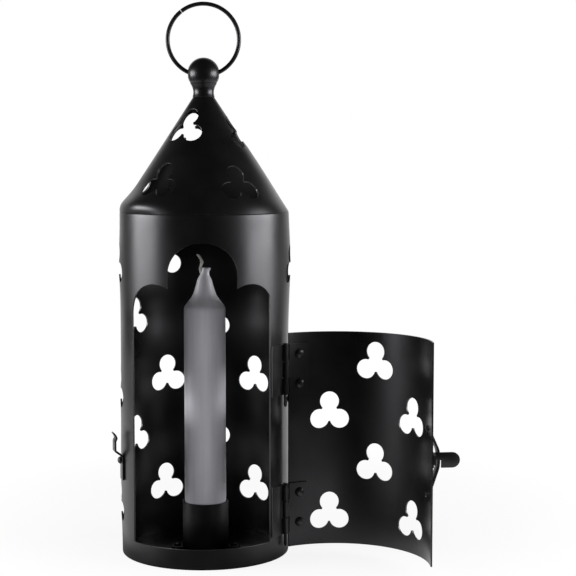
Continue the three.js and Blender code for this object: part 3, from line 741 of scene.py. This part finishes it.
wire_radius = 1.1
ring_radius = 18.9
ring_height = ball_height - bore_radius + rest_gap + wire_radius + ring_radius
ring_split = 0.2 / ring_radius
split_turn = math.radians(128) + ring_split / 2
ring_black = painted("ring_black", (0.007, 0.007, 0.0075), (0.05, 0.05, 0.052), 0.36, 0.15, 0.0)
bm = bmesh.new()
wire = bmesh.ops.create_circle(bm, cap_ends=False, segments=20, radius=wire_radius)["verts"]
bmesh.ops.translate(bm, verts=wire, vec=(ring_radius, 0, 0))
bmesh.ops.rotate(bm, verts=wire, cent=(0, 0, 0), matrix=Matrix.Rotation(-split_turn, 3, "Y"))
bmesh.ops.spin(
    bm, geom=wire + bm.edges[:], cent=(0, 0, 0), axis=(0, -1, 0), angle=2 * math.pi - ring_split,
    steps=160,
)
bmesh.ops.holes_fill(bm, edges=[edge for edge in bm.edges if edge.is_boundary], sides=0)
bmesh.ops.recalc_face_normals(bm, faces=bm.faces[:])
soften(bm, [edge for edge in bm.edges if edge.calc_face_angle() > 1], 0.2)
bmesh.ops.translate(bm, verts=bm.verts[:], vec=(0, 0, ring_height))
finish_piece("wire_ring", bm, [ring_black], "ring", ["carry_ring"], 50)

# Hinges. Two steel butt hinges: each leaf is a bent plate with rolled knuckles, one leaf
# riveted flush to the tube and one domed to the door's inside, on a pin with a long tail.

hinge_azimuth = -22.5
hinge_radius = 47.05
hinge_x = hinge_radius * math.cos(math.radians(hinge_azimuth))
hinge_y = hinge_radius * math.sin(math.radians(hinge_azimuth))
hinge_height = 26.6
hinge_bases = {"lower": 12.8, "upper": 87.7}
leaf_thickness = 0.8
knuckle_gap = 0.15
hinge_rivet_spread = 8.05

# How far from the hinge's line each leaf starts and ends along its sheet, and its rivets stand
tube_leaf_reach = (2.5, 11.4)
tube_rivet_reach = 6.9
flush_dome = (1.0, 0.2)
door_leaf_reach = (4.2, 15)
door_rivet_reach = 10.4
wide_dome = (2.5, 1.1)

# The door lies round a line a little right of the tube's, and is drawn closed and then opened
door_offset = 2.0434
door_inner = 47.1958
door_opening = math.radians(150)
opened = (
    Matrix.Translation((hinge_x, hinge_y, 0))
    @ Matrix.Rotation(door_opening, 4, "Z")
    @ Matrix.Translation((-hinge_x, -hinge_y, 0))
)

# Where a rivet passes: from its foot on the far side of the sheet to the seat of its dome
through_leaf = (-1.2, 0.9)
through_door_leaf = (-1.2, 1.4)


def bent_plate(bm, centre, radii, azimuths, heights, steps=12):
    """A plate bent round an upright line at centre, between two azimuths."""
    inner, outer = radii
    start, stop = azimuths
    low, high = heights
    turn = math.radians(start)
    ring = [
        bm.verts.new((centre + radius * math.cos(turn), radius * math.sin(turn), height))
        for radius, height in ((inner, low), (outer, low), (outer, high), (inner, high))
    ]
    sides = [bm.edges.new((ring[i - 1], ring[i])) for i in range(4)]
    before = set(bm.verts) - set(ring)
    bmesh.ops.spin(
        bm, geom=ring + sides, cent=(centre, 0, 0), axis=(0, 0, 1), angle=math.radians(stop - start),
        steps=steps,
    )
    made = [vert for vert in bm.verts if vert not in before]
    loose = {edge for vert in made for edge in vert.link_edges if edge.is_boundary}
    bmesh.ops.holes_fill(bm, edges=list(loose), sides=4)
    face_out(bm, made)


def knuckle(bm, low, high):
    """A rolled knuckle with room inside for the pin."""
    face_out(bm, turn_round(bm, [
        (1.15, low + 0.1), (1.3, low), (1.6, low), (1.75, low + 0.15), (1.75, high - 0.15), (1.6, high),
        (1.3, high), (1.15, high - 0.1), (1.15, low + 0.1),
    ], 28, centre=(hinge_x, hinge_y, 0)))


def standing(centre, azimuth, radius, height):
    """The place of a fitting that stands square on a bent sheet, its own Z pointing outwards."""
    turn = math.radians(azimuth)
    out = Vector((math.cos(turn), math.sin(turn), 0))
    across = Vector((-math.sin(turn), math.cos(turn), 0))
    at = (centre + radius * out.x, radius * out.y, height)
    return Matrix([
        (across[row], (0, 0, 1)[row], out[row], at[row]) for row in range(3)
    ] + [(0, 0, 0, 1)])


def hinge_side(along, radius):
    """The azimuth at a distance along the sheet from the hinge's line."""
    return hinge_azimuth - math.degrees(along / radius)


for level, base in hinge_bases.items():
    third = hinge_height / 3
    top = base + hinge_height
    middle = (base + third + knuckle_gap, base + 2 * third - knuckle_gap)
    ends = ((base, base + third - knuckle_gap), (base + 2 * third + knuckle_gap, top))

    # Tube's leaf, with the two end knuckles
    bm = bmesh.new()
    inner = tube_radius + rest_gap
    outer = inner + leaf_thickness
    root, far = (hinge_side(reach, tube_radius) for reach in tube_leaf_reach)
    bent_plate(bm, 0, (inner, outer), (far, root), (base, top))
    for span in ends:
        bent_plate(bm, 0, (inner + 0.01, outer - 0.01), (root - 0.2, hinge_azimuth - 0.2), span, 4)
        knuckle(bm, *span)
    finish_piece(
        f"{level}_tube_leaf", bm, [black_fittings], "lantern body", [f"{level}_hinge_body_leaf"],
    )

    # Door's leaf, with the middle knuckle
    bm = bmesh.new()
    outer = door_inner - rest_gap
    inner = outer - leaf_thickness
    root, far = (hinge_side(reach, door_inner) for reach in door_leaf_reach)
    bent_plate(bm, door_offset, (inner, outer), (far, root), (base, top))
    bent_plate(
        bm, door_offset, (inner + 0.01, outer - 0.01), (root - 0.2, hinge_azimuth - 0.4), middle, 4
    )
    knuckle(bm, *middle)
    bmesh.ops.transform(bm, matrix=opened, verts=bm.verts[:])
    finish_piece(
        f"{level}_door_leaf", bm, [black_fittings], "door", [f"{level}_hinge_door_leaf"],
    )

    # Pin, with a small head and a long tail rounded off at its end
    bm = bmesh.new()
    turn_round(bm, [
        (0, base - 6.6), (0.35, base - 6.55), (0.6, base - 6.3), (0.85, base - 5.6), (0.85, top + 0.3),
        (1.35, top + 0.3), (1.45, top + 0.45), (1.3, top + 0.75), (0.8, top + 0.8), (0, top + 0.8),
    ], 24, centre=(hinge_x, hinge_y, 0))
    bmesh.ops.recalc_face_normals(bm, faces=bm.faces[:])
    finish_piece(
        f"{level}_pin", bm, [black_fittings], "lantern body", [f"{level}_hinge_pin"]
    )

    # Rivets: two flush ones in the tube's leaf, and two domed ones inside the door
    for number, side in ((1, -1), (2, 1)):
        height = base + hinge_height / 2 + side * hinge_rivet_spread
        azimuth = hinge_side(tube_rivet_reach, tube_radius)
        rivet(
            f"{level}_tube_stud_{number}", standing(0, azimuth, tube_radius, height), through_leaf,
            flush_dome, "lantern body", f"{level}_hinge_body_rivet_{number}",
        )
        azimuth = hinge_side(door_rivet_reach, door_inner)
        inwards = standing(door_offset, azimuth, door_inner, height) @ Matrix.Rotation(math.pi, 4, "X")
        rivet(
            f"{level}_door_stud_{number}", opened @ inwards, through_door_leaf, wide_dome, "door",
            f"{level}_hinge_door_rivet_{number}",
        )

# Door. A pierced strip of the same sheet, bent to lie round the closed window, with staggered
# holes in three columns.

door_outer = door_inner + sheet
door_free_edge = -151.5
door_sweep = math.radians(123.5)
door_low = 4.8
door_top = 120.1
door_length = door_outer * door_sweep
door_facets = 62
door_columns = ((-117, (76.2, 21.6)), (-86.5, (103.5, 48.9)), (-56, (76.2, 21.6)))


def along_door(azimuth):
    """Where an azimuth lies on the door's flat sheet."""
    return door_outer * math.radians(azimuth - door_free_edge)


bm = bmesh.new()
outline(bm, [(0, door_low), (door_length, door_low), (door_length, door_top), (0, door_top)])
for azimuth, heights in door_columns:
    for height in heights:
        pierce(bm, along_door(azimuth), height)
bends = [((door_length * i / door_facets, 0, 0), (1, 0, 0)) for i in range(1, door_facets)]
bends += [((0, height, 0), (0, 1, 0)) for height in range(10, 120, 10)]
fill_sheet(bm, bends)
thicken(bm)
for vert in bm.verts:
    x, height, depth = vert.co
    turn = math.radians(door_free_edge) + x / door_outer
    out = door_outer + depth
    vert.co = (door_offset + out * math.cos(turn), out * math.sin(turn), height)
bmesh.ops.transform(bm, matrix=opened, verts=bm.verts[:])
finish_piece("door_sheet", bm, [satin_black, worn_and_highlit_rim], "door", ["door_panel"])

# Latch bridge. A strip of steel bowed over the bolt and riveted to the door at both ends, with
# daylight under it.

latch_height = 58.5
bolt_thickness = 1.2
bolt_inner = door_outer + rest_gap
bolt_outer = bolt_inner + bolt_thickness
bridge_width = 5.5
bridge_bend = 2
bridge_daylight = 3.1
bridge_foot = rest_gap + sheet
bridge_crest = bolt_outer - door_outer + bridge_daylight + sheet
bridge_in = 12.6
bridge_azimuth = door_free_edge + math.degrees(bridge_in / door_outer)
bridge_studs = (("lower", latch_height - 18.6), ("upper", latch_height + 15.8))
through_strip = (-1.2, 1.5)


def bent_strip(bm, line, width, bend):
    """A strip of sheet through the (out, up) points, each bend rounded, square ends broken."""
    points = [bm.verts.new((-width / 2, up, out)) for out, up in line]
    lines = [bm.edges.new(pair) for pair in zip(points, points[1:])]
    swept = bmesh.ops.extrude_edge_only(bm, edges=lines)
    bmesh.ops.translate(bm, verts=corners_of(swept["geom"]), vec=(width, 0, 0))
    soften(bm, [edge for edge in bm.edges if len(edge.link_faces) == 2], bend, segments=5)
    bmesh.ops.recalc_face_normals(bm, faces=bm.faces[:])
    for face in bm.faces:
        if face.normal.z < 0:
            face.normal_flip()

    # The under side is drawn square to each stretch of the upper one
    under = bmesh.ops.extrude_face_region(bm, geom=bm.faces[:], use_keep_orig=True)
    square = {}
    for vert in corners_of(under["geom"]):
        steep = sum((face.normal for face in vert.link_faces if abs(face.normal.x) < 0.5), Vector())
        square[vert] = steep.normalized()
    for vert, way in square.items():
        vert.co -= way * sheet * (1 if way.z > 0 else -1)
    bmesh.ops.recalc_face_normals(bm, faces=bm.faces[:])
    soften(bm, [edge for edge in bm.edges if edge.calc_face_angle() > 1.2], 0.14)


bm = bmesh.new()
bent_strip(bm, [
    (bridge_foot, -20.9), (bridge_foot, -16.3), (bridge_crest, -4), (bridge_crest, 4),
    (bridge_foot, 13.5), (bridge_foot, 18.1),
], bridge_width, bridge_bend)
place = opened @ standing(door_offset, bridge_azimuth, door_outer, latch_height)
bmesh.ops.transform(bm, matrix=place, verts=bm.verts[:])
finish_piece("bowed_bridge", bm, [black_fittings], "door", ["latch_bridge"], 40)
for name, height in bridge_studs:
    rivet(
        f"bridge_stud_{name}", opened @ standing(door_offset, bridge_azimuth, door_outer, height),
        through_strip, small_dome, "door", f"bridge_rivet_{name}",
    )

# Bolt. A curved steel strip that slides round the door under the bridge, with a narrower tongue.
# Its finger tab is turned out at right angles, on a neck that is cut away below.

bolt_half_width = 4
bolt_length = 21
tongue_length = 8
tongue_drop = 1
tongue_past_door = 0.8
tongue_tip = door_free_edge - math.degrees(tongue_past_door / bolt_inner)
tab_azimuth = tongue_tip + math.degrees(tongue_length / bolt_inner)
tail_azimuth = tab_azimuth + math.degrees(bolt_length / bolt_inner)
tab_reach = 14.8
neck_reach = 5
bolt_heights = (latch_height - bolt_half_width, latch_height + bolt_half_width)
tongue_heights = (latch_height - tongue_drop, latch_height + bolt_half_width)
bm = bmesh.new()
bent_plate(bm, door_offset, (bolt_inner, bolt_outer), (tab_azimuth, tail_azimuth), bolt_heights)
bent_plate(
    bm, door_offset, (bolt_inner + 0.01, bolt_outer - 0.01), (tongue_tip, tab_azimuth + 1),
    tongue_heights, 6,
)
drawn = set(bm.verts)

# The tab's side, drawn as (up, out): a round end, and the neck above the cut-away corner
round_middle = tab_reach - bolt_half_width
top = bm.verts.new((0, bolt_half_width, round_middle))
arc = bmesh.ops.spin(
    bm, geom=[top], cent=(0, 0, round_middle), axis=(1, 0, 0), angle=math.pi, steps=16
)
corners = ((-bolt_half_width, neck_reach), (0, neck_reach), (0, 0), (bolt_half_width, 0))
course = corners_of(arc["geom_last"]) + [bm.verts.new((0, *corner)) for corner in corners] + [top]
for pair in zip(course, course[1:]):
    bm.edges.new(pair)
rim = [edge for edge in bm.edges if edge.verts[0] not in drawn]
filled = bmesh.ops.triangle_fill(bm, use_beauty=True, edges=rim, normal=(-1, 0, 0))
blade = [part for part in filled["geom"] if isinstance(part, bmesh.types.BMFace)]
thick = bmesh.ops.extrude_face_region(bm, geom=blade, use_keep_orig=True)
bmesh.ops.translate(bm, verts=corners_of(thick["geom"]), vec=(bolt_thickness, 0, 0))
face_out(bm, [vert for vert in bm.verts if vert not in drawn])
tab_edges = [edge for edge in bm.edges if edge.verts[0] not in drawn]
soften(bm, [edge for edge in tab_edges if edge.calc_face_angle() > 1], 0.18)
tab = [vert for vert in bm.verts if vert not in drawn]
place = standing(door_offset, tab_azimuth, bolt_inner, latch_height)
bmesh.ops.transform(bm, matrix=place, verts=tab)
bmesh.ops.transform(bm, matrix=opened, verts=bm.verts[:])
bmesh.ops.recalc_face_normals(bm, faces=bm.faces[:])
finish_piece("sliding_bolt", bm, [black_fittings], "bolt", ["latch_bolt"], 40)

# Keeper. A springy strip riveted to the tube at its foot; it stands off above so that the bolt
# slides behind it, and ends in a small dip and a turned-out lip.

keeper_azimuth = -163
keeper_width = 6.4
keeper_bend = 0.5
keeper_foot = rest_gap + sheet
keeper_stand = 5.2
keeper_stud_height = 51.7
keeper_dome = (2, 1.7)
bm = bmesh.new()
bent_strip(bm, [
    (keeper_foot, -17.3), (keeper_foot, -4.8), (keeper_stand, -1.8), (keeper_stand, 3.9), (4.4, 5.5),
    (keeper_stand, 7.0), (5.9, 7.8),
], keeper_width, keeper_bend)
place = standing(0, keeper_azimuth, tube_radius, latch_height)
bmesh.ops.transform(bm, matrix=place, verts=bm.verts[:])
finish_piece(
    "spring_keeper", bm, [black_fittings], "lantern body", ["latch_keeper"], 40
)
rivet(
    "keeper_stud", standing(0, keeper_azimuth, tube_radius, keeper_stud_height), through_strip,
    keeper_dome, "lantern body", "keeper_rivet",
)

# Stage. A plain pale floor and a white wall far behind the lantern, in a dim room, with one
# wide low softbox to each side.

floor_middle = (0.04, 0.28, -0.0002)
floor_radius = 0.5
shadow_middle = (0.04, 0.1)
lamp_distance = 0.9
lamp_height = 0.26
lamp_tall = 0.36
aim_height = 0.18


def white_to_the_eye(tree, shown):
    """Where the white background shows: to the eye, and by the given mask in polish and glass."""
    path = tree.nodes.new("ShaderNodeLightPath").outputs
    mirrored = maths(tree, "MAXIMUM", path["Is Glossy Ray"], path["Is Transmission Ray"])
    return maths(tree, "MAXIMUM", path["Is Camera Ray"], maths(tree, "MULTIPLY", mirrored, shown))


floor_white = bpy.data.materials.new("floor_white")
floor_white.use_nodes = True
tree = floor_white.node_tree
tree.nodes.clear()
place = tree.nodes.new("ShaderNodeTexCoord").outputs["Object"]
apart = tree.nodes.new("ShaderNodeSeparateXYZ")
tree.links.new(place, apart.inputs[0])
behind = spread(tree, apart.outputs["Y"], -0.08, 0.25, 0.05, 1.0, smooth=True)
aside = maths(tree, "ABSOLUTE", apart.outputs["X"])
beside = spread(tree, aside, 0.046, 0.08, 0.0, 1.0, smooth=True)
shown = white_to_the_eye(tree, maths(tree, "MAXIMUM", behind, beside))

# The white is a little weaker near the lantern, where its shadow lies
centred = tree.nodes.new("ShaderNodeMapping")
centred.inputs["Location"].default_value = (-shadow_middle[0], -shadow_middle[1], 0)
tree.links.new(place, centred.inputs["Vector"])
distance = tree.nodes.new("ShaderNodeVectorMath")
distance.operation = "LENGTH"
tree.links.new(centred.outputs["Vector"], distance.inputs[0])
cleared = spread(tree, distance.outputs["Value"], 0.08, 0.28, 0.84, 1.0, smooth=True)

dull = tree.nodes.new("ShaderNodeBsdfDiffuse")
polish = tree.nodes.new("ShaderNodeLightPath").outputs["Is Glossy Ray"]
tree.links.new(spread(tree, polish, 0, 1, 0.8, 0.08, smooth=True), dull.inputs["Color"])
glow = tree.nodes.new("ShaderNodeEmission")
glow.inputs["Strength"].default_value = 1.03
both = tree.nodes.new("ShaderNodeMixShader")
tree.links.new(maths(tree, "MULTIPLY", shown, cleared), both.inputs[0])
tree.links.new(dull.outputs[0], both.inputs[1])
tree.links.new(glow.outputs[0], both.inputs[2])
surface = tree.nodes.new("ShaderNodeOutputMaterial").inputs["Surface"]
tree.links.new(both.outputs[0], surface)

bm = bmesh.new()
bmesh.ops.create_circle(bm, cap_ends=True, segments=64, radius=floor_radius)
bmesh.ops.translate(bm, verts=bm.verts[:], vec=floor_middle)
mesh = bpy.data.meshes.new("studio_floor")
bm.to_mesh(mesh)
bm.free()
mesh.materials.append(floor_white)
studio_floor = bpy.data.objects.new("studio_floor", mesh)
bpy.context.scene.collection.objects.link(studio_floor)

world = bpy.data.worlds.new("dim_room")
world.use_nodes = True
bpy.context.scene.world = world
tree = world.node_tree
room = tree.nodes["Background"]
room.inputs["Color"].default_value = (1, 1, 1, 1)
scattered = tree.nodes.new("ShaderNodeLightPath").outputs["Is Diffuse Ray"]
tree.links.new(spread(tree, scattered, 0, 1, 0.015, 0.25, smooth=True), room.inputs["Strength"])
wall = tree.nodes.new("ShaderNodeBackground")
wall.inputs["Color"].default_value = (1, 1, 1, 1)
wall.inputs["Strength"].default_value = 1.0
apart = tree.nodes.new("ShaderNodeSeparateXYZ")
tree.links.new(tree.nodes.new("ShaderNodeTexCoord").outputs["Generated"], apart.inputs[0])
behind = spread(tree, apart.outputs["Y"], 0.6, 0.95, 0.0, 1.0, smooth=True)
choice = tree.nodes.new("ShaderNodeMixShader")
tree.links.new(white_to_the_eye(tree, behind), choice.inputs[0])
tree.links.new(room.outputs[0], choice.inputs[1])
tree.links.new(wall.outputs[0], choice.inputs[2])
tree.links.new(choice.outputs[0], tree.nodes["World Output"].inputs["Surface"])


def softbox(name, azimuth, width, power):
    """A soft lamp standing beside the lantern, aimed at the upper part of its tube."""
    lamp = bpy.data.lights.new(name, "AREA")
    lamp.shape = "RECTANGLE"
    lamp.size = width
    lamp.size_y = lamp_tall
    lamp.energy = power
    box = bpy.data.objects.new(name, lamp)
    turn = math.radians(azimuth)
    box.location = (lamp_distance * math.cos(turn), lamp_distance * math.sin(turn), lamp_height)
    aim = Vector((0, 0, aim_height)) - box.location
    box.rotation_euler = aim.to_track_quat("-Z", "Y").to_euler()
    bpy.context.scene.collection.objects.link(box)


softbox("left_softbox", azimuth=-174, width=0.66, power=8.1)
softbox("right_softbox", azimuth=-6, width=0.73, power=8.8)

# Camera. A long lens looks at the lantern from in front: it stands a little above its middle
# and a little to the right of it, and is tipped slightly down.

camera_pitch = 5.28
lens = bpy.data.cameras.new("camera")
lens.lens = 99.34
lens.sensor_width = 36
lens.clip_start = 0.01
camera = bpy.data.objects.new("camera", lens)
camera.location = (0.04483, -0.85, 0.2212)
camera.rotation_euler = (math.radians(90 - camera_pitch), 0, 0)
bpy.context.scene.collection.objects.link(camera)
bpy.context.scene.camera = camera
bpy.context.scene.view_settings.view_transform = "Standard"
